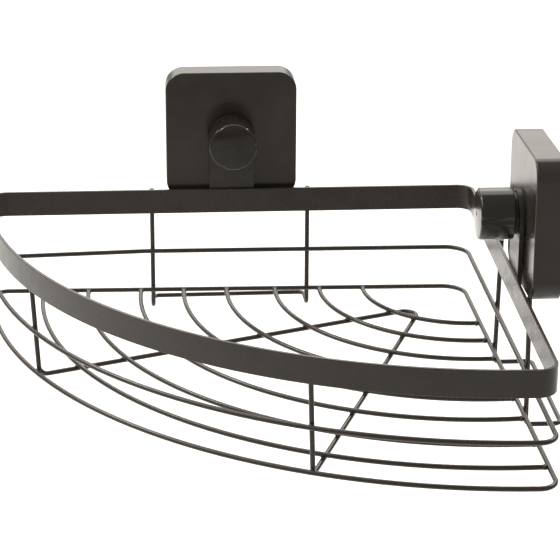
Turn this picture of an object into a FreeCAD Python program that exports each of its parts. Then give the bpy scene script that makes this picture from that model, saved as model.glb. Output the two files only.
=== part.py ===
"""Corner shower caddy: a quarter-round wire basket on two suction mounts.

Frame of the part (mm): +X right, +Y towards the back wall, +Z up. The origin is the point
where the rear mount's stud axis meets the plane of the back wall.
The basket is drawn in its own frame, whose origin is the room corner of the rim band: the
point where the outer faces of its two straight sides would meet, at the band's top edge.
Its straight sides and floor arcs mirror each other about the vertical plane X = Y of that
frame. The front arcs are centred a little off that plane, the middle ring's back side is
bent inward near its tip, and each stay has its own leg positions.
"""
import FreeCAD, Part
import math
import os

from FreeCAD import Vector as V

# ---------------------------------------------------------------- driving dimensions
# rim band: a flat strip on edge
BAND_HEIGHT = 12.5
BAND_THICK = 1.6
BAND_EDGE = 0.3             # rounding of the strip's long edges
RIM_ARC_R = 240.0           # front arc, outer face
RIM_ARC_CENTRE = (-6.6, -2.3)
RIM_CORNER_R = 8.0
RIM_TIP_R = 9.5

# round wire
WIRE_D = 2.3
WIRE_R = WIRE_D / 2
WELD_BITE = 0.1             # how far two welded wires sink into each other
CONTACT = WIRE_D - WELD_BITE

# the two wire rings hang below the band
MIDDLE_Z = -33.1
BOTTOM_Z = -54.4
BOTTOM_SIDE_OFFSET = 3.9    # bottom ring's straight side at the room corner, behind the band
BOTTOM_SIDE_FLARE = 0.023   # and its slope outward towards the tip
BOTTOM_ARC_R = 246.3
BOTTOM_ARC_CENTRE = (-0.3, 5.1)
RING_CORNER_R = 12.0
RING_TIP_R = 8.0
MIDDLE_BEND = (168.0, 4.5)  # the middle ring's back side turns inward: reach, degrees
BEND_R = 30.0

# floor arcs: (distance of the ends from the corner, distance of the middle from each wall side)
FLOOR_ARCS = [(220.5, 158.3), (197.5, 141.6), (170.5, 124.4), (148.5, 107.6),
              (126.5, 91.2), (101.5, 73.6), (78.5, 57.0), (56.0, 41.0)]

# front wire: a riser, the V-shaped floor rail, and a riser
RISER_TOP_Z = -4.0
RISER_TOP_ALONG = 101.5     # distance from the nearer wall side, at the band
LEFT_FOOT_ALONG = 103.0     # and at the feet
RIGHT_FOOT_ALONG = 99.8
RAIL_APEX = 28.3            # where the V's legs would meet, from each wall side
RAIL_FOOT_R = 4.5
RAIL_APEX_R = 5.5

# wall stays: a U wire on each wall side, with a stand-off loop below the basket
# each leg: (distance from the room corner, depth of its foot, depth of the loop at the wall)
REAR_STAY = [(84.8, -63.2, -64.6), (164.2, -64.1, -64.9)]
RIGHT_STAY = [(84.8, -63.2, -63.2), (160.2, -62.0, -62.0)]
STAY_TOP_Z = 0.0
STAY_FOOT_R = 2.5
STAY_LOOP_R = 3.5
STAY_LOOP_REACH = 18.4      # centre line of the wall run, beyond the band's outer face

# suction mounts
STUD_ALONG = 123.5          # distance of each stud from the room corner
STUD_HEIGHT = 26.8          # above the band's top edge
WALL_GAP = 19.8             # band's outer face to the wall

STRAP_WIDTH = 22.6
STRAP_THICK = 2.0
STRAP_BOTTOM_Z = -11.2
PLATE_GAP = 0.1             # between flat faces that turn on each other

SPACER_D = 22.0
SPACER_THICK = 0.7

COVER_SIDE = 66.0
COVER_CORNER_R = 9.4
COVER_DEPTH = 12.9
COVER_WALL = 2.2
COVER_EDGE = 0.8
COVER_BOSS_D = 16.0
RIGHT_COVER_TURN = 2.2      # degrees: the right cover hangs with its front edge a little high

PAD_CLEAR = 0.2             # around the pad, inside the cover
PAD_SKIRT_PROUD = 0.6       # the square skirt, beyond the cover's back edge
PAD_PROUD = 4.1             # and the round lip
PAD_LIP_D = 54.0
PAD_WEB = 3.0
PAD_CAVITY_D = 48.0
PAD_CAVITY_DEPTH = 5.0
PAD_RECESS_D = 46.0
PAD_LIP_EDGE = 1.0

STUD_D = 6.0
STUD_PITCH = 1.0            # M6 coarse thread
STUD_CLEAR = 0.08           # radial, in every hole it runs through
FOOT_D = 24.0
FOOT_THICK = 2.0
STUD_LENGTH_IN_KNOB = 9.6

WASHER_D = 19.0
WASHER_THICK = 1.8

KNOB_D = 23.8
KNOB_LENGTH = 16.1
KNOB_EDGE = 1.1
KNOB_CROWN = 0.5            # how far the middle of the face stands out beyond its edge
KNOB_BACK_EDGE = 0.4
NOTCH_ANGLES = (2.0, 122.0, 242.0)
NOTCH_R = 5.0
NOTCH_DEPTH = 0.45
KNOB_RELIEF_R = (6.6, 9.2)  # moulded-out ring inside the back of the knob
KNOB_RELIEF_DEPTH = 9.0
INSERT_D = 9.5
INSERT_LENGTH = 10.0
KNOB_BORE_END = 12.0        # blind hole past the insert, for the stud's tip

# the part's origin, in the basket's frame
ORIGIN = V(-STUD_ALONG, WALL_GAP, STUD_HEIGHT)


# ---------------------------------------------------------------- helpers
def mirrored(point):
    """The same point on the other side of the basket's plane of symmetry."""
    return V(point.y, point.x, point.z)


def save(name, shape):
    """Move a shape from the basket's frame to the part's frame and write it."""
    moved = shape.copy()
    moved.translate(-ORIGIN)
    if not moved.isValid():
        raise RuntimeError(name + " is not a valid solid")
    moved.exportStep("parts/" + name + ".step")
    print(name, "solids", len(moved.Solids), "volume %.0f" % moved.Volume)


def arc_edge(start, middle, end):
    return Part.Arc(start, middle, end).toShape()


def bent_wire_path(points, radii):
    """Straight runs through the points, with a tangent arc of the given radius at each bend."""
    edges = []
    start = points[0]
    for before, corner, after, radius in zip(points, points[1:], points[2:], radii):
        towards = (before - corner).normalize()
        away = (after - corner).normalize()
        half = towards.getAngle(away) / 2
        setback = radius / math.tan(half)
        bisector = (towards + away).normalize()
        arc_start = corner + towards * setback
        arc_end = corner + away * setback
        arc_middle = corner + bisector * (radius / math.sin(half) - radius)
        edges.append(Part.LineSegment(start, arc_start).toShape())
        edges.append(arc_edge(arc_start, arc_middle, arc_end))
        start = arc_end
    edges.append(Part.LineSegment(start, points[-1]).toShape())
    return edges


def round_wire(edges, diameter=WIRE_D):
    """A round bar of the given diameter along a chain of tangent edges."""
    first = edges[0]
    start = first.valueAt(first.FirstParameter)
    direction = first.tangentAt(first.FirstParameter)
    section = Part.Wire(Part.makeCircle(diameter / 2, start, direction))
    return Part.Wire(edges).makePipeShell([section], True, False)


def tip_points(corner, side, centre, arc_r, tip_r):
    """Start, middle and end of the rounded tip between a straight side and the front arc."""
    inward = V(-side.y, side.x, 0)                  # across the side, into the basket
    # the tip's centre is tip_r inside the side and tip_r inside the front arc
    base = corner + inward * tip_r - centre
    along = base.dot(side)
    reach = math.sqrt((arc_r - tip_r) ** 2 - base.dot(base) + along ** 2)
    tip_centre = corner + inward * tip_r + side * (reach - along)
    outward = (tip_centre - centre).normalize()
    middle = tip_centre + (outward - inward).normalize() * tip_r
    return tip_centre - inward * tip_r, middle, tip_centre + outward * tip_r


def outline_edges(offset, flare, centre, arc_r, corner_r, tip_r, z, bend=None):
    """Closed quarter-round outline at depth z, with two like sides and a front arc.

    The straight side on the back wall is the line y = -offset - flare * x. It starts at the
    rounded room corner and meets the front arc in a rounded tip. The other side mirrors it,
    but a bend, given as (reach, degrees), turns the back wall's side inward at that reach.
    """
    side = V(-1.0, flare, 0).normalize()            # from the corner towards the left tip
    corner_xy = -offset / (1 + flare)
    corner = V(corner_xy, corner_xy, z)
    centre = V(centre.x, centre.y, z)

    # room corner: the arc touches both sides
    half = side.getAngle(mirrored(side)) / 2
    corner_start = corner + side * (corner_r / math.tan(half))
    diagonal = V(-1.0, -1.0, 0).normalize()
    corner_middle = corner + diagonal * (corner_r / math.sin(half) - corner_r)

    front = [mirrored(p) for p in tip_points(corner, side, mirrored(centre), arc_r, tip_r)]
    if bend is None:
        left = tip_points(corner, side, centre, arc_r, tip_r)
        back = [Part.LineSegment(corner_start, left[0]).toShape()]
    else:
        reach, degrees = bend
        knee = corner + side * ((reach + corner.x) / -side.x)
        turn = math.radians(degrees)
        turned = side * math.cos(turn) + V(-side.y, side.x, 0) * math.sin(turn)
        left = tip_points(knee, turned, centre, arc_r, tip_r)
        back = bent_wire_path([corner_start, knee, left[0]], [BEND_R])
    return [
        arc_edge(mirrored(corner_start), corner_middle, corner_start),
        *back,
        arc_edge(*left),
        arc_edge(left[2], centre + diagonal * arc_r, front[2]),
        arc_edge(*reversed(front)),
        Part.LineSegment(front[0], mirrored(corner_start)).toShape(),
    ]


# Every wire that touches the risers lies on one tapering surface. Its shape at a depth is
# between that at the band, where the fraction is 0, and that at the bottom ring, at 1.
SIDE_OFFSET_AT_BAND = CONTACT - WIRE_R              # a wire inside a riser that is on the band
ARC_R_AT_BAND = RIM_ARC_R - BAND_THICK - WIRE_R + CONTACT
ARC_CENTRE_AT_BAND = V(*RIM_ARC_CENTRE, 0)
ARC_CENTRE_AT_BOTTOM = V(*BOTTOM_ARC_CENTRE, 0)


def taper(z):
    """Side offset, side flare, arc centre and arc radius of the basket's wires at depth z."""
    t = z / BOTTOM_Z
    offset = SIDE_OFFSET_AT_BAND + t * (BOTTOM_SIDE_OFFSET - SIDE_OFFSET_AT_BAND)
    centre = ARC_CENTRE_AT_BAND + (ARC_CENTRE_AT_BOTTOM - ARC_CENTRE_AT_BAND) * t
    radius = ARC_R_AT_BAND + t * (BOTTOM_ARC_R - ARC_R_AT_BAND)
    return offset, t * BOTTOM_SIDE_FLARE, centre, radius


def stay_y(x, z):
    """Where a riser of the rear stay is at depth z: outside the rings, touching them."""
    offset, flare, _, _ = taper(z)
    return -offset - flare * x + CONTACT


def riser_point(along, z, on_right=False):
    """A point of a front riser, touching the rings from inside, this far from its wall side."""
    _, _, centre, radius = taper(z)
    if on_right:
        centre = mirrored(centre)
    across = -along - centre.y
    point = V(centre.x - math.sqrt((radius - CONTACT) ** 2 - across ** 2), -along, z)
    return mirrored(point) if on_right else point


# ---------------------------------------------------------------- basket
def rim_band():
    centre = ARC_CENTRE_AT_BAND
    outer = outline_edges(0, 0, centre, RIM_ARC_R, RIM_CORNER_R, RIM_TIP_R, -BAND_HEIGHT)
    inner = outline_edges(BAND_THICK, 0, centre, RIM_ARC_R - BAND_THICK,
                          RIM_CORNER_R - BAND_THICK, RIM_TIP_R - BAND_THICK, -BAND_HEIGHT)
    up = V(0, 0, BAND_HEIGHT)
    band = Part.Face(Part.Wire(outer)).extrude(up).cut(Part.Face(Part.Wire(inner)).extrude(up))
    long_edges = [e for e in band.Edges if e.BoundBox.ZLength < 0.01]
    return band.makeFillet(BAND_EDGE, long_edges)


def ring(z, bend=None):
    offset, flare, centre, radius = taper(z)
    edges = outline_edges(offset, flare, centre, radius, RING_CORNER_R, RING_TIP_R, z, bend)
    return round_wire(edges)


def floor_arc(end_reach, middle_reach):
    """A floor wire whose ends butt against the inside of the bottom ring's two sides."""
    offset, flare, _, _ = taper(BOTTOM_Z)
    end_y = -offset + flare * end_reach - CONTACT / 2
    end = V(-end_reach, end_y, BOTTOM_Z)
    middle = V(-middle_reach, -middle_reach, BOTTOM_Z)
    return round_wire([arc_edge(end, middle, mirrored(end))])


def floor_rail():
    """Riser, V-shaped rail under the floor arcs, riser: one wire."""
    drop = V(0, 0, -CONTACT)                        # the rail runs under the floor arcs
    points = [
        riser_point(RISER_TOP_ALONG, RISER_TOP_Z),
        riser_point(LEFT_FOOT_ALONG, BOTTOM_Z) + drop,
        V(-RAIL_APEX, -RAIL_APEX, BOTTOM_Z) + drop,
        riser_point(RIGHT_FOOT_ALONG, BOTTOM_Z, on_right=True) + drop,
        riser_point(RISER_TOP_ALONG, RISER_TOP_Z, on_right=True),
    ]
    return round_wire(bent_wire_path(points, [RAIL_FOOT_R, RAIL_APEX_R, RAIL_FOOT_R]))


def wall_stay(legs):
    """Two risers on the wall side of the basket, joined by the stand-off loop below it."""
    risers = []
    for along, foot_z, wall_z in legs:
        top = V(-along, stay_y(-along, STAY_TOP_Z), STAY_TOP_Z)
        foot = V(-along, stay_y(-along, foot_z), foot_z)
        risers.append((top, foot, V(-along, STAY_LOOP_REACH, wall_z)))
    near, far = risers
    points = [near[0], near[1], near[2], far[2], far[1], far[0]]
    return round_wire(bent_wire_path(points, [STAY_FOOT_R, STAY_LOOP_R, STAY_LOOP_R, STAY_FOOT_R]))


# ---------------------------------------------------------------- suction mount
# Drawn about its stud: the axis is Y, y = 0 is the band's outer face, +Y goes to the wall.
COVER_FRONT_Y = STRAP_THICK + PLATE_GAP + SPACER_THICK
COVER_BACK_Y = COVER_FRONT_Y + COVER_DEPTH
PAD_BACK_Y = COVER_BACK_Y + PAD_PROUD
PAD_FRONT_Y = COVER_FRONT_Y + COVER_WALL
WEB_BACK_Y = PAD_BACK_Y - PAD_CAVITY_DEPTH
WEB_FRONT_Y = WEB_BACK_Y - PAD_WEB
KNOB_BACK_Y = -PLATE_GAP - WASHER_THICK
HOLE_R = STUD_D / 2 + STUD_CLEAR


def disc(diameter, y_from, y_to):
    return Part.makeCylinder(diameter / 2, y_to - y_from, V(0, y_from, 0), V(0, 1, 0))


def rounded_square(side, corner_r, y_from, y_to):
    block = Part.makeBox(side, y_to - y_from, side, V(-side / 2, y_from, -side / 2))
    upright = [e for e in block.Edges if e.BoundBox.YLength > 0.01]
    return block.makeFillet(corner_r, upright)


def edges_at_y(shape, y):
    near = 0.01
    return [e for e in shape.Edges if abs(e.BoundBox.YMin - y) < near and abs(e.BoundBox.YMax - y) < near]


def with_stud_hole(shape, y_from, y_to):
    return shape.cut(disc(2 * HOLE_R, y_from, y_to))


def strap():
    """Flat plate with a round top, from the band up to the stud."""
    length = STUD_HEIGHT - STRAP_BOTTOM_Z
    plate = Part.makeBox(STRAP_WIDTH, STRAP_THICK, length, V(-STRAP_WIDTH / 2, 0, -length))
    plate = plate.fuse(disc(STRAP_WIDTH, 0, STRAP_THICK)).removeSplitter()
    return with_stud_hole(plate, 0, STRAP_THICK)


def spacer():
    front = STRAP_THICK + PLATE_GAP
    return with_stud_hole(disc(SPACER_D, front, COVER_FRONT_Y), front, COVER_FRONT_Y)


def cover():
    """Moulded square housing, open to the wall, with a boss round the stud."""
    shell = rounded_square(COVER_SIDE, COVER_CORNER_R, COVER_FRONT_Y, COVER_BACK_Y)
    shell = shell.makeFillet(COVER_EDGE, edges_at_y(shell, COVER_FRONT_Y))
    hollow = rounded_square(COVER_SIDE - 2 * COVER_WALL, COVER_CORNER_R - COVER_WALL,
                            PAD_FRONT_Y, COVER_BACK_Y)
    boss = disc(COVER_BOSS_D, PAD_FRONT_Y - COVER_WALL / 2, WEB_FRONT_Y)
    shell = shell.cut(hollow).fuse(boss).removeSplitter()
    return with_stud_hole(shell, COVER_FRONT_Y, WEB_FRONT_Y)


def suction_pad():
    """Soft pad: a square skirt in the cover, a web across it, and a round lip on the wall."""
    side = COVER_SIDE - 2 * COVER_WALL - 2 * PAD_CLEAR
    skirt_back_y = COVER_BACK_Y + PAD_SKIRT_PROUD
    pad = rounded_square(side, COVER_CORNER_R - COVER_WALL - PAD_CLEAR, PAD_FRONT_Y, skirt_back_y)
    pad = pad.makeFillet(PAD_SKIRT_PROUD, edges_at_y(pad, skirt_back_y))
    lip = disc(PAD_LIP_D, WEB_FRONT_Y, PAD_BACK_Y)
    lip = lip.makeFillet(PAD_LIP_EDGE, edges_at_y(lip, PAD_BACK_Y))
    pad = pad.fuse(lip).removeSplitter()
    pad = pad.cut(disc(PAD_RECESS_D, PAD_FRONT_Y, WEB_FRONT_Y))
    pad = pad.cut(disc(PAD_CAVITY_D, WEB_BACK_Y, PAD_BACK_Y))
    return with_stud_hole(pad, WEB_FRONT_Y, WEB_BACK_Y)


def stud():
    """Foot plate in the pad's cavity, and the threaded shaft through to the knob."""
    foot_y = WEB_BACK_Y + PLATE_GAP / 2
    tip_y = KNOB_BACK_Y - STUD_LENGTH_IN_KNOB
    shaft = disc(STUD_D, tip_y, foot_y + FOOT_THICK)
    shaft = shaft.makeChamfer(STUD_PITCH / 2, edges_at_y(shaft, tip_y))
    return shaft.fuse(disc(FOOT_D, foot_y, foot_y + FOOT_THICK)).removeSplitter()


def knob_washer():
    return with_stud_hole(disc(WASHER_D, KNOB_BACK_Y, -PLATE_GAP), KNOB_BACK_Y, -PLATE_GAP)


def knob_insert():
    front = KNOB_BACK_Y - INSERT_LENGTH
    return with_stud_hole(disc(INSERT_D, front, KNOB_BACK_Y), front, KNOB_BACK_Y)


def knob():
    """Round screw knob with a crowned face and shallow grip notches along its side."""
    front_y = KNOB_BACK_Y - KNOB_LENGTH
    crown_r = (KNOB_D / 2) ** 2 / (2 * KNOB_CROWN)
    body = disc(KNOB_D, front_y, KNOB_BACK_Y).common(Part.makeSphere(crown_r, V(0, front_y + crown_r, 0)))
    for angle in NOTCH_ANGLES:
        radius = KNOB_D / 2 + NOTCH_R - NOTCH_DEPTH
        x = radius * math.cos(math.radians(angle))
        z = radius * math.sin(math.radians(angle))
        cutter = disc(2 * NOTCH_R, front_y, KNOB_BACK_Y)
        cutter.translate(V(x, 0, z))
        body = body.cut(cutter)
    face_edges = [e for e in body.Edges if e.BoundBox.YMax < front_y + 2 * KNOB_CROWN]
    body = body.makeFillet(KNOB_EDGE, face_edges)
    body = body.makeFillet(KNOB_BACK_EDGE, edges_at_y(body, KNOB_BACK_Y))
    inner_r, outer_r = KNOB_RELIEF_R
    relief_end = KNOB_BACK_Y - KNOB_RELIEF_DEPTH
    relief = disc(2 * outer_r, relief_end, KNOB_BACK_Y).cut(disc(2 * inner_r, relief_end, KNOB_BACK_Y))
    pocket = disc(INSERT_D, KNOB_BACK_Y - INSERT_LENGTH, KNOB_BACK_Y)
    bore = disc(2 * HOLE_R, KNOB_BACK_Y - KNOB_BORE_END, KNOB_BACK_Y)
    return body.cut(relief).cut(pocket).cut(bore)


MOUNT_PARTS = {
    "strap": strap,
    "spacer": spacer,
    "cover": cover,
    "suction_pad": suction_pad,
    "stud": stud,
    "knob_washer": knob_washer,
    "knob_insert": knob_insert,
    "knob": knob,
}


def on_rear_wall(shape):
    placed = shape.copy()
    placed.translate(V(-STUD_ALONG, 0, STUD_HEIGHT))
    return placed


def on_right_wall(shape, turn=0.0):
    placed = shape.copy()
    placed.rotate(V(0, 0, 0), V(0, 1, 0), -turn)
    placed.rotate(V(0, 0, 0), V(0, 0, 1), -90)
    placed.translate(V(0, -STUD_ALONG, STUD_HEIGHT))
    return placed


def across_diagonal(shape):
    """The shape's mirror image about the basket's diagonal plane."""
    return shape.mirror(V(0, 0, 0), V(1, -1, 0).normalize())


def main():
    os.makedirs("parts", exist_ok=True)
    save("rim_band", rim_band())
    save("middle_ring", ring(MIDDLE_Z, MIDDLE_BEND))
    save("bottom_ring", ring(BOTTOM_Z))
    for number, (end_reach, middle_reach) in enumerate(FLOOR_ARCS, start=1):
        save("floor_arc_%d" % number, floor_arc(end_reach, middle_reach))
    save("floor_rail", floor_rail())
    save("rear_stay", wall_stay(REAR_STAY))
    save("right_stay", across_diagonal(wall_stay(RIGHT_STAY)))
    for name, make in MOUNT_PARTS.items():
        shape = make()
        save("rear_" + name, on_rear_wall(shape))
        turn = RIGHT_COVER_TURN if name in ("cover", "suction_pad") else 0.0
        save("right_" + name, on_right_wall(shape, turn))


main()
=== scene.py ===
"""Corner shower caddy: finish, weld beads, small moulded details, light and camera.

The CAD frame is in metres, with the rear mount's stud axis on the origin and the back wall
in the plane y = 0. Lengths written here in millimetres are multiplied by MM.
"""
import math

import bmesh
import bpy
from mathutils import Matrix, Vector, noise
from mathutils.bvhtree import BVHTree


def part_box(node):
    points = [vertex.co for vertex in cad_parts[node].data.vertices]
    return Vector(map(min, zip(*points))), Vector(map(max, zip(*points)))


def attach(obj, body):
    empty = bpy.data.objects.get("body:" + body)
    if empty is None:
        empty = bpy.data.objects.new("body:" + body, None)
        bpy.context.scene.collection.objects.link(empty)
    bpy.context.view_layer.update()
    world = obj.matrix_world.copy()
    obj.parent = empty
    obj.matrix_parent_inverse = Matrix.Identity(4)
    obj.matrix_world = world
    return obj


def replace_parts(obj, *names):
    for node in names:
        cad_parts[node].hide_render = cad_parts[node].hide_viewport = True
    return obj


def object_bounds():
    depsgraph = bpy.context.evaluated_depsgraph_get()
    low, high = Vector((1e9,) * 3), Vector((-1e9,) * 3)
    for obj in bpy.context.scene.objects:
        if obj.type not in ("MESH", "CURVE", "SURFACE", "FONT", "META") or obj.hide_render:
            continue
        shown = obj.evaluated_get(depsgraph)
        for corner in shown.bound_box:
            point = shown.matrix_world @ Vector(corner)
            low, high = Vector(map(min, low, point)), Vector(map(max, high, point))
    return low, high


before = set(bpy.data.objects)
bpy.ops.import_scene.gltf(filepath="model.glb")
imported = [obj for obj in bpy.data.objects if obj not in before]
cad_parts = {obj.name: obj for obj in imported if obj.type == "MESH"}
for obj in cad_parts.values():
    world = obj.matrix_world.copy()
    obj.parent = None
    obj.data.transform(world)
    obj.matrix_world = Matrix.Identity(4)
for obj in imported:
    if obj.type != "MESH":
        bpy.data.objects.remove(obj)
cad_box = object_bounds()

MM = 0.001
UP = Vector((0, 0, 1))

# ---------------------------------------------------------------- sizes of the frame
WIRE_R = 1.15 * MM
BAND_THICK = 1.6 * MM
STRAP_THICK = 2.0 * MM
PAD_CAVITY_DEPTH = 5.0 * MM
FOOT_THICK = 2.0 * MM
STUD_R = 3.0 * MM
THREAD_PITCH = 1.0 * MM
THREAD_DEPTH = 0.61 * MM
SIDES = ("rear", "right")

# ---------------------------------------------------------------- how wires are found
SAME_CUT = 3.5 * WIRE_R         # cut points nearer than this belong to one wire
FOOT_BEND = 12 * WIRE_R         # along the rail, past the bend at its foot
APEX_BEND = 25 * WIRE_R         # and short of its middle
RAIL_TOUCH = 1.4 * WIRE_R       # a floor arc this near the rail lies on it
UPRIGHT_TOUCH = 1.6 * WIRE_R    # an upright this near a band or ring is welded to it


def middle(node):
    low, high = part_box(node)
    return (low + high) / 2


BAND_LOW, BAND_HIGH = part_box("rim_band")
CORNER = Vector((BAND_HIGH.x, BAND_HIGH.y, 0))      # of the band's outer faces
STUD_AT = {side: middle(side + "_stud") for side in SIDES}
TO_WALL = {"rear": Vector((0, 1, 0)), "right": Vector((1, 0, 0))}


def mirrored(point):
    """The same point on the other side of the basket's diagonal plane."""
    return Vector((CORNER.x + point.y - CORNER.y, CORNER.y + point.x - CORNER.x, point.z))


# ---------------------------------------------------------------- material helpers
class Nodes:
    """A material with a Principled shader, and short calls for the nodes in front of it."""

    def __init__(self, name):
        self.material = bpy.data.materials.new(name)
        self.material.use_nodes = True
        self.tree = self.material.node_tree
        self.shader = self.tree.nodes["Principled BSDF"]
        self.place = self.add("ShaderNodeTexCoord").outputs["Object"]

    def add(self, kind, **values):
        node = self.tree.nodes.new(kind)
        for key, value in values.items():
            setattr(node, key, value)
        return node

    def link(self, output, target):
        self.tree.links.new(output, target)

    def noise(self, scale, detail=3.0, roughness=0.55, distortion=0.0):
        node = self.add("ShaderNodeTexNoise")
        self.link(self.place, node.inputs["Vector"])
        node.inputs["Scale"].default_value = scale
        node.inputs["Detail"].default_value = detail
        node.inputs["Roughness"].default_value = roughness
        node.inputs["Distortion"].default_value = distortion
        return node.outputs["Fac"]

    def span(self, value, low, high, from_low=0.3, from_high=0.7):
        node = self.add("ShaderNodeMapRange")
        self.link(value, node.inputs["Value"])
        node.inputs["From Min"].default_value = from_low
        node.inputs["From Max"].default_value = from_high
        node.inputs["To Min"].default_value = low
        node.inputs["To Max"].default_value = high
        return node.outputs["Result"]

    def blend(self, amount, first, second):
        """Colour from first to second; either may be a colour or another node's output."""
        node = self.add("ShaderNodeMix", data_type="RGBA")
        self.link(amount, node.inputs["Factor"])
        for socket, colour in ((node.inputs[6], first), (node.inputs[7], second)):
            if isinstance(colour, tuple):
                socket.default_value = (*colour, 1.0)
            else:
                self.link(colour, socket)
        return node.outputs[2]

    def bump(self, height, strength, distance, normal=None):
        node = self.add("ShaderNodeBump")
        self.link(height, node.inputs["Height"])
        node.inputs["Strength"].default_value = strength
        node.inputs["Distance"].default_value = distance
        if normal is not None:
            self.link(normal, node.inputs["Normal"])
        return node.outputs["Normal"]

    def soft_edges(self, radius):
        """Normals rounded over sharp edges."""
        node = self.add("ShaderNodeBevel", samples=4)
        node.inputs["Radius"].default_value = radius
        return node.outputs["Normal"]

    def edge_mask(self, rounded):
        """1 on a sharp edge, 0 on the flat: where the rounded normal leaves the true one."""
        geometry = self.add("ShaderNodeNewGeometry")
        dot = self.add("ShaderNodeVectorMath", operation="DOT_PRODUCT")
        self.link(rounded, dot.inputs[0])
        self.link(geometry.outputs["Normal"], dot.inputs[1])
        return self.span(dot.outputs["Value"], 1.0, 0.0, 0.80, 0.995)

    def finish(self, colour, roughness, normal, metallic=0.0, ior=1.5, coat=0.0, coat_roughness=0.1):
        inputs = self.shader.inputs
        self.link(colour, inputs["Base Color"])
        self.link(roughness, inputs["Roughness"])
        self.link(normal, inputs["Normal"])
        inputs["Metallic"].default_value = metallic
        inputs["IOR"].default_value = ior
        inputs["Coat Weight"].default_value = coat
        inputs["Coat Roughness"].default_value = coat_roughness
        return self.material


def coated_metal(name, dark, warm, edge_wear_and_highlight, roughness):
    """Brown-black baked coat on steel: faint mottling, orange peel, lighter on its edges, partly rubbed
    wear and partly a painted highlight.
    """
    n = Nodes(name)
    rounded = n.soft_edges(0.25 * MM)
    mottling = n.span(n.noise(90.0, 4.0), 0.0, 1.0)
    colour = n.blend(mottling, dark, warm)
    patches = n.span(n.noise(420.0, 2.0), 0.0, 0.6, 0.45, 0.75)
    # lighter colour on sharp edges, in patches: partly rubbed wear, partly a painted highlight along
    # the edge
    edge_wear_and_highlight_mask = n.add("ShaderNodeMath", operation="MULTIPLY")
    n.link(n.edge_mask(rounded), edge_wear_and_highlight_mask.inputs[0])
    n.link(patches, edge_wear_and_highlight_mask.inputs[1])
    colour = n.blend(edge_wear_and_highlight_mask.outputs[0], colour, edge_wear_and_highlight)
    low, high = roughness
    gloss = n.span(n.noise(160.0, 3.0), low, high)
    peel = n.bump(n.noise(1500.0, 2.0), 0.12, 0.02 * MM, rounded)
    specks = n.bump(n.noise(5200.0, 1.0), 0.05, 0.01 * MM, peel)
    return n.finish(colour, gloss, specks)


def moulded_plastic(name, dark, warm, roughness, grain_depth, edge=0.3 * MM):
    """Moulded brown-black plastic: very fine grain, faint flow marks, softened edges."""
    n = Nodes(name)
    rounded = n.soft_edges(edge)
    flow = n.span(n.noise(35.0, 2.0, 0.5, 1.2), 0.0, 1.0)
    colour = n.blend(flow, dark, warm)
    low, high = roughness
    gloss = n.span(n.noise(60.0, 4.0, 0.6), low, high)
    swell = n.bump(n.noise(70.0, 1.0), 0.25, 0.05 * MM, rounded)
    grain = n.bump(n.noise(3800.0, 2.0), 0.15, grain_depth, swell)
    return n.finish(colour, gloss, grain)


def soft_rubber(name, dark, light, roughness):
    """Elastomer: matt, faintly dusty, with a slow swell on its surface."""
    n = Nodes(name)
    rounded = n.soft_edges(0.4 * MM)
    dust = n.span(n.noise(260.0, 5.0, 0.65), 0.0, 1.0, 0.4, 0.8)
    colour = n.blend(dust, dark, light)
    low, high = roughness
    gloss = n.span(n.noise(120.0, 3.0), low, high)
    swell = n.bump(n.noise(110.0, 2.0), 0.2, 0.05 * MM, rounded)
    return n.finish(colour, gloss, swell, ior=1.45)


def turned_metal(name, dark, light, roughness):
    """Bare turned metal: fine tool rings and slight tarnish."""
    n = Nodes(name)
    rounded = n.soft_edges(0.2 * MM)
    tarnish = n.span(n.noise(300.0, 4.0), 0.0, 1.0)
    colour = n.blend(tarnish, light, dark)
    low, high = roughness
    gloss = n.span(n.noise(900.0, 3.0, 0.6), low, high)
    rings = n.bump(n.noise(2600.0, 2.0, 0.5, 0.4), 0.25, 0.015 * MM, rounded)
    return n.finish(colour, gloss, rings, metallic=1.0)


def stage_material():
    n = Nodes("pale_floor")
    colour = n.blend(n.span(n.noise(1.5, 2.0), 0.0, 1.0), (0.88, 0.88, 0.88), (0.92, 0.92, 0.92))
    grain = n.bump(n.noise(300.0, 2.0), 0.05, 0.1 * MM)
    return n.finish(colour, n.span(n.noise(8.0), 0.55, 0.65), grain)


FINISHES = {
    # the third colour of each coat is its lighter edge colour: partly wear, partly a painted highlight
    "coated_strip": coated_metal("coated_strip", (0.023, 0.0180, 0.014), (0.032, 0.0240, 0.018),
                                 (0.080, 0.060, 0.044), (0.24, 0.32)),
    "coated_wire": coated_metal("coated_wire", (0.020, 0.0155, 0.012), (0.028, 0.0210, 0.016),
                                (0.070, 0.052, 0.038), (0.22, 0.30)),
    "cover_plastic": moulded_plastic("cover_plastic", (0.026, 0.0205, 0.0165), (0.034, 0.0265, 0.021),
                                     (0.17, 0.23), 0.006 * MM),
    "knob_plastic": moulded_plastic("knob_plastic", (0.014, 0.0110, 0.0085), (0.019, 0.0145, 0.0115),
                                    (0.12, 0.17), 0.008 * MM, 0.2 * MM),
    # washer near black: partly its own black plastic, partly painted shade of the gap behind the knob
    "washer_plastic": moulded_plastic("washer_plastic", (0.007, 0.006, 0.005), (0.010, 0.008, 0.007),
                                      (0.40, 0.50), 0.010 * MM, 0.2 * MM),
    "spacer_rubber": soft_rubber("spacer_rubber", (0.014, 0.013, 0.013), (0.030, 0.028, 0.027),
                                 (0.60, 0.75)),
    "pad_rubber": soft_rubber("pad_rubber", (0.016, 0.015, 0.015), (0.034, 0.032, 0.031),
                              (0.42, 0.55)),
    "stud_steel": turned_metal("stud_steel", (0.42, 0.41, 0.39), (0.62, 0.61, 0.59), (0.22, 0.36)),
    "insert_brass": turned_metal("insert_brass", (0.46, 0.31, 0.13), (0.66, 0.47, 0.22),
                                 (0.20, 0.32)),
}

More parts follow.
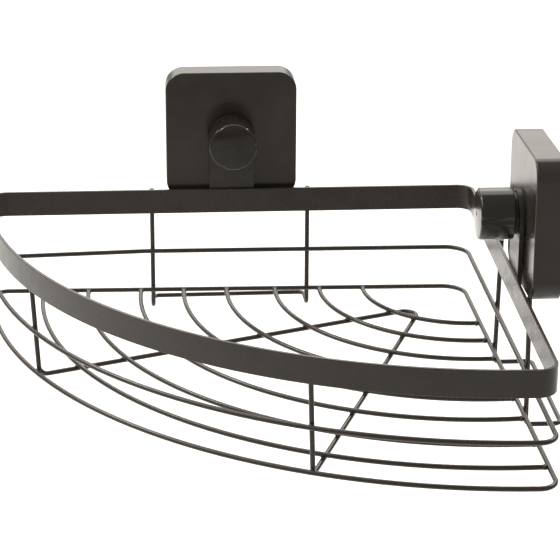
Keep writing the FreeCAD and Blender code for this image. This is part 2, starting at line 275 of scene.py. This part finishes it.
NODE_FINISH = {
    "strap": "coated_strip",
    "spacer": "spacer_rubber",
    "cover": "cover_plastic",
    "suction_pad": "pad_rubber",
    "stud": "stud_steel",
    "knob_washer": "washer_plastic",
    "knob_insert": "insert_brass",
    "knob": "knob_plastic",
}


def finish_of(node):
    """The material slot of a CAD node, from its name."""
    if node == "rim_band":
        return "coated_strip"
    for side in SIDES:
        part = node.removeprefix(side + "_")
        if part in NODE_FINISH:
            return NODE_FINISH[part]
    return "coated_wire"


def paint(obj, finish):
    obj.data.materials.clear()
    obj.data.materials.append(FINISHES[finish])


for node_name, node_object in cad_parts.items():
    paint(node_object, finish_of(node_name))


# ---------------------------------------------------------------- piece helpers
def piece(name, builder, body, finish):
    """Turns a bmesh into a named piece that rides a body and takes a finish."""
    mesh = bpy.data.meshes.new(name)
    bmesh.ops.recalc_face_normals(builder, faces=builder.faces)
    builder.to_mesh(mesh)
    builder.free()
    for polygon in mesh.polygons:
        polygon.use_smooth = True
    obj = bpy.data.objects.new(name, mesh)
    bpy.context.scene.collection.objects.link(obj)
    paint(obj, finish)
    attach(obj, body)
    return obj


def axes(x, y):
    """Rotation onto direction x and, as near as it can be square to it, direction y."""
    x = x.normalized()
    z = x.cross(y).normalized()
    return Matrix((x, z.cross(x), z)).transposed().to_4x4()


def bead(builder, at, turn, radii):
    """A small uneven weld bead: an ellipsoid with soft lumps, its radii along the turned axes."""
    place = Matrix.Translation(at) @ turn @ Matrix.Diagonal((*radii, 1.0))
    sphere = bmesh.ops.create_icosphere(builder, subdivisions=3, radius=1.0)
    for vertex in sphere["verts"]:
        lump = noise.noise(vertex.co * 1.6 + at / (3.0 * MM))
        vertex.co = place @ (vertex.co * (1.0 + 0.12 * lump))


def section_centres(node, point, normal):
    """Centres of the places where a plane cuts a wire."""
    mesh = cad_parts[node].data
    groups = []
    for edge in mesh.edges:
        a, b = (mesh.vertices[i].co for i in edge.vertices)
        side_a, side_b = (a - point).dot(normal), (b - point).dot(normal)
        if side_a * side_b < 0:
            cut = a.lerp(b, side_a / (side_a - side_b))
            group = next((g for g in groups if (g[0] - cut).length < SAME_CUT), None)
            if group is None:
                group = []
                groups.append(group)
            group.append(cut)
    return [
        Vector([(min(p[i] for p in g) + max(p[i] for p in g)) / 2 for i in range(3)]) for g in groups
    ]


def nearest_on(node, point):
    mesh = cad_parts[node].data
    tree = BVHTree.FromPolygons([v.co for v in mesh.vertices], [p.vertices for p in mesh.polygons])
    return tree.find_nearest(point)[0]


# ---------------------------------------------------------------- welds
def crossing_bead(builder, at, first, second):
    """Fillet between two wires that cross: longest in the sharp corners between them."""
    if first.dot(second) < 0:
        second = -second
    half = first.angle(second) / 2
    reach = 0.8 * WIRE_R
    radii = (reach / math.sin(half), reach / math.cos(half), 0.6 * WIRE_R)
    bead(builder, at, axes(first + second, first - second), radii)


def floor_welds():
    """Where each floor arc lies on a leg of the V-shaped rail, and where it ends on the ring."""
    on_rail, on_ring = bmesh.new(), bmesh.new()
    arcs = sorted(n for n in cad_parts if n.startswith("floor_arc_"))
    rail_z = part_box("floor_rail")[0].z + WIRE_R
    contact_z = (middle(arcs[0]).z + rail_z) / 2
    # each leg, from two cuts across it that the other leg doesn't reach
    legs = []
    for axis in (Vector((1, 0, 0)), Vector((0, 1, 0))):
        foot, half_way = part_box("floor_rail")[0].dot(axis), middle("floor_rail").dot(axis)
        cuts = [
            min(section_centres("floor_rail", axis * at, axis), key=lambda p: p.z)
            for at in (foot + FOOT_BEND, half_way - APEX_BEND)
        ]
        legs.append((cuts[0], (cuts[1] - cuts[0]).normalized()))
    for arc in arcs:
        for start, along in legs:
            across = along.cross(UP).normalized()
            for centre in section_centres(arc, start, across):
                beyond = section_centres(arc, start + across * WIRE_R, across)
                following = min(beyond, key=lambda p: (p - centre).length)
                nearest_rail = nearest_on("floor_rail", centre)
                if (nearest_rail - centre).length < RAIL_TOUCH:
                    at = Vector((centre.x, centre.y, contact_z))
                    crossing_bead(on_rail, at, along, (following - centre).normalized())
        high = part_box(arc)[1]
        ends = [v.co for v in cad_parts[arc].data.vertices if v.co.y > high.y - 0.3 * WIRE_R]
        end = sum(ends, Vector()) / len(ends)
        inner = min(section_centres(arc, end - Vector((0, 3 * WIRE_R, 0)), Vector((0, 1, 0))),
                    key=lambda p: (p - end).length)
        inward = (inner - end).normalized()
        at = end + inward * 0.6 * WIRE_R
        radii = (1.1 * WIRE_R, 1.35 * WIRE_R, 1.22 * WIRE_R)
        bead(on_ring, at, axes(inward, Vector((1, 0, 0))), radii)
        bead(on_ring, mirrored(at), axes(Vector((inward.y, inward.x, 0)), Vector((0, 1, 0))), radii)
    piece("floor_rail_welds", on_rail, "basket", "coated_wire")
    piece("floor_arc_end_welds", on_ring, "basket", "coated_wire")


def upright_welds(node):
    """Where a node's uprights meet the rim band and the two wire rings."""
    builder = bmesh.new()
    band_z = middle("rim_band").z
    overlap = min(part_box(node)[1].z, BAND_HIGH.z) - BAND_LOW.z
    for other, z in (("rim_band", band_z), ("middle_ring", middle("middle_ring").z),
                     ("bottom_ring", middle("bottom_ring").z)):
        for centre in section_centres(node, Vector((0, 0, z)), UP):
            touch = nearest_on(other, centre)
            if (touch - centre).length > UPRIGHT_TOUCH:
                continue
            out = (touch - centre).normalized()
            level = UP.cross(out)
            if other == "rim_band":
                for share in (0.24, 0.68):
                    at = Vector((touch.x, touch.y, BAND_LOW.z + share * overlap))
                    bead(builder, at, axes(level, UP), (1.35 * WIRE_R, 2.4 * WIRE_R, 0.5 * WIRE_R))
            else:
                crossing_bead(builder, touch, level, UP)
    piece(node + "_welds", builder, "basket", "coated_wire")


def strap_welds(side):
    """Two upright beads, one along each edge of the strap, on the back of the rim band."""
    builder = bmesh.new()
    to_wall = TO_WALL[side]
    along = to_wall.cross(UP)
    low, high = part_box(side + "_strap")
    half_width = abs((high - low).dot(along)) / 2
    centre = (low + high) / 2
    centre += to_wall * (max(low.dot(to_wall), high.dot(to_wall)) - centre.dot(to_wall) - STRAP_THICK)
    for way in (-1, 1):
        for share in (0.3, 0.7):
            at = centre + along * way * half_width
            at.z = BAND_LOW.z + share * (BAND_HIGH.z - BAND_LOW.z)
            bead(builder, at, axes(along, to_wall), (0.7 * MM, 0.9 * MM, 3.0 * MM))
    piece(side + "_strap_welds", builder, "basket", "coated_strip")


def rim_butt_weld():
    """The upright seam where the strip's two ends meet, in front of the rear mount."""
    builder = bmesh.new()
    turn = axes(Vector((1, 0, 0)), Vector((0, 1, 0)))
    outer_y, inner_y = BAND_HIGH.y, BAND_HIGH.y - BAND_THICK
    height = BAND_HIGH.z - BAND_LOW.z
    x = STUD_AT["rear"].x
    steps = 7
    for y in (outer_y, inner_y):
        for step in range(steps):
            drift = 0.12 * MM * math.sin(2.3 * step + 900.0 * y)
            z = BAND_HIGH.z - (0.06 + 0.74 * step / (steps - 1)) * height
            bead(builder, Vector((x + drift, y, z)), turn, (0.42 * MM, 0.16 * MM, 1.05 * MM))
    for share in (0.25, 0.75):
        y = outer_y - share * BAND_THICK
        bead(builder, Vector((x, y, BAND_HIGH.z - 0.10 * MM)), turn, (0.40 * MM, 0.55 * MM, 0.09 * MM))
    piece("rim_butt_weld", builder, "basket", "coated_strip")


# ---------------------------------------------------------------- turned and moulded details
def stitch(builder, rings):
    """Faces between each ring of vertices and the next."""
    for ring, following in zip(rings, rings[1:]):
        for step in range(len(ring)):
            after = (step + 1) % len(ring)
            builder.faces.new((ring[step], ring[after], following[after], following[step]))


def turned(builder, profile, at, axis, steps=48):
    """Turns a profile of (radius, distance along the axis) about an axis through a point."""
    turn = axes(axis.orthogonal(), axis.cross(axis.orthogonal()))
    rings = []
    for radius, height in profile:
        ring = []
        for step in range(steps):
            angle = 2 * math.pi * step / steps
            local = Vector((radius * math.cos(angle), radius * math.sin(angle), height))
            ring.append(builder.verts.new(at + turn.to_3x3() @ local))
        rings.append(ring)
    stitch(builder, rings)
    return rings


GATE_PROFILE = [(1.35, -0.12), (1.18, 0.04), (1.00, 0.09), (0.84, 0.04), (0.66, -0.04), (0.50, 0.00),
                (0.40, 0.16), (0.20, 0.24)]     # radius and height, in millimetres


def knob_gate(side):
    """Moulding gate mark in the middle of the knob's face: a low ring round a nib."""
    builder = bmesh.new()
    out = -TO_WALL[side]
    low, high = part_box(side + "_knob")
    at = STUD_AT[side].copy()
    at += out * (max(low.dot(out), high.dot(out)) - at.dot(out))
    rings = turned(builder, [(r * MM, h * MM) for r, h in GATE_PROFILE], at, out, 32)
    builder.faces.new(rings[-1])
    piece(side + "_knob_gate", builder, side + "_knob", "knob_plastic")


def pad_ribs(side):
    """Three concentric sealing ribs on the wall side of the pad's web, round the foot plate."""
    builder = bmesh.new()
    wall = TO_WALL[side]
    low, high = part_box(side + "_suction_pad")
    at = STUD_AT[side].copy()
    at += wall * (max(low.dot(wall), high.dot(wall)) - PAD_CAVITY_DEPTH - at.dot(wall))
    inner_r, outer_r, ribs, height = 13.2 * MM, 23.0 * MM, 3, 0.9 * MM
    steps = 60
    profile = []
    for step in range(steps + 1):
        share = step / steps
        wave = max(0.0, math.sin(2 * math.pi * ribs * share))
        profile.append((inner_r + share * (outer_r - inner_r), height * wave ** 0.7 - 0.05 * MM))
    turned(builder, profile, at, wall, 96)
    piece(side + "_pad_ribs", builder, side + "_cup", "pad_rubber")


def threaded_stud(side):
    """The stud with its M6 thread cut, and its foot plate with rounded edges."""
    builder = bmesh.new()
    wall = TO_WALL[side]
    low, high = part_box(side + "_stud")
    tip = min(low.dot(wall), high.dot(wall))
    length = abs((high - low).dot(wall))
    foot_r = abs(high.z - low.z) / 2
    at = STUD_AT[side] + wall * (tip - STUD_AT[side].dot(wall))
    turn = axes(wall.orthogonal(), wall.cross(wall.orthogonal())).to_3x3()
    shaft = length - FOOT_THICK + 0.2 * MM
    around, per_pitch = 32, 8
    rows = int(shaft / THREAD_PITCH * per_pitch)
    rings = []
    for row in range(rows + 1):
        height = shaft * row / rows
        ring = []
        for step in range(around):
            angle = 2 * math.pi * step / around
            phase = (height / THREAD_PITCH - step / around) % 1.0
            radius = STUD_R - THREAD_DEPTH * abs(2 * phase - 1)
            radius = min(radius, STUD_R - THREAD_DEPTH + height)
            local = Vector((radius * math.cos(angle), radius * math.sin(angle), height))
            ring.append(builder.verts.new(at + turn @ local))
        rings.append(ring)
    stitch(builder, rings)
    builder.faces.new(rings[0])
    builder.faces.new(rings[-1])
    edge = 0.4 * MM
    start, end = length - FOOT_THICK, length
    corners = [(foot_r - edge, start, -90), (foot_r - edge, end - 2 * edge, 0)]
    profile = [(STUD_R * 0.5, start)]
    for radius, height, first in corners:
        for step in range(5):
            angle = math.radians(first + 22.5 * step)
            profile.append((radius + edge * math.cos(angle), height + edge * (1 + math.sin(angle))))
    profile += [(5.2 * MM, end), (4.6 * MM, end - 0.5 * MM), (1.0 * MM, end - 0.6 * MM)]
    plate = turned(builder, profile, at, wall, 64)
    builder.faces.new(plate[0])
    builder.faces.new(plate[-1])
    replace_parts(piece(side + "_threaded_stud", builder, side + "_stud", "stud_steel"), side + "_stud")


floor_welds()
rim_butt_weld()
for upright in ("floor_rail", "rear_stay", "right_stay"):
    upright_welds(upright)
for mount_side in SIDES:
    strap_welds(mount_side)
    knob_gate(mount_side)
    pad_ribs(mount_side)
    threaded_stud(mount_side)


# ---------------------------------------------------------------- camera
CAMERA_AT = (-0.04987, -1.06029, 0.31960)
CAMERA_HEADING = -4.582         # degrees about Z, from looking along +Y
CAMERA_DIP = 20.700             # degrees below the horizon
CAMERA_ROLL = 0.476
CAMERA_LENS = 138.41
CAMERA_SENSOR = 36.0
CAMERA_SHIFT = (-0.02979, -0.00899)


def add_camera():
    data = bpy.data.cameras.new("camera")
    data.lens = CAMERA_LENS
    data.sensor_width = CAMERA_SENSOR
    data.shift_x, data.shift_y = CAMERA_SHIFT
    data.clip_start = 0.05
    data.clip_end = 50.0
    camera = bpy.data.objects.new("camera", data)
    turn = Matrix.Rotation(math.radians(CAMERA_HEADING), 4, "Z")
    tilt = Matrix.Rotation(math.radians(90.0 - CAMERA_DIP), 4, "X")
    roll = Matrix.Rotation(math.radians(CAMERA_ROLL), 4, "Z")
    camera.matrix_world = Matrix.Translation(CAMERA_AT) @ turn @ tilt @ roll
    bpy.context.scene.collection.objects.link(camera)
    bpy.context.scene.camera = camera


# ---------------------------------------------------------------- light and floor
FLOOR_DROP = 0.45               # the caddy hangs on a wall, well above the floor
FLOOR_SIDE = 12.0
LIGHT_COLOUR = (1.0, 0.965, 0.910)


def add_floor():
    builder = bmesh.new()
    bmesh.ops.create_grid(builder, x_segments=1, y_segments=1, size=FLOOR_SIDE / 2)
    mesh = bpy.data.meshes.new("floor")
    builder.to_mesh(mesh)
    builder.free()
    floor = bpy.data.objects.new("floor", mesh)
    floor.location.z = cad_box[0][2] - FLOOR_DROP
    mesh.materials.append(stage_material())
    bpy.context.scene.collection.objects.link(floor)


def add_world(strength):
    world = bpy.data.worlds.new("studio")
    bpy.context.scene.world = world
    world.use_nodes = True
    background = world.node_tree.nodes["Background"]
    background.inputs["Color"].default_value = (*LIGHT_COLOUR, 1.0)
    background.inputs["Strength"].default_value = strength


def add_softbox(name, at, size, watts, target=None):
    """A rectangular area light aimed at a point, or at the middle of the caddy."""
    data = bpy.data.lights.new(name, "AREA")
    data.shape = "RECTANGLE"
    data.size, data.size_y = size
    data.energy = watts
    data.color = LIGHT_COLOUR
    light = bpy.data.objects.new(name, data)
    target = Vector(target) if target else (Vector(cad_box[0]) + Vector(cad_box[1])) / 2
    aim = (target - Vector(at)).to_track_quat("-Z", "Y")
    light.matrix_world = Matrix.Translation(at) @ aim.to_matrix().to_4x4()
    light.visible_camera = False
    bpy.context.scene.collection.objects.link(light)


add_camera()
add_floor()
add_world(0.42)
add_softbox("key_softbox", (-0.8, -0.5, 1.4), (0.9, 0.6), 5.0)
add_softbox("back_softbox", (0.0, 2.4, 1.1), (3.4, 1.7), 25.0)
add_softbox("floor_softbox", (0.0, 1.6, 1.5), (3.4, 2.4), 60.0, (0.0, 1.6, -1.0))
add_softbox("left_floor_softbox", (-1.5, 0.0, 1.1), (1.0, 1.6), 18.0, (-1.5, 0.0, -1.0))
add_softbox("left_strip", (-1.0, 0.3, 1.05), (0.22, 0.22), 5.0)
add_softbox("right_strip", (1.1, 0.4, 0.95), (0.22, 0.22), 5.0)
bpy.context.scene.view_settings.view_transform = "Standard"
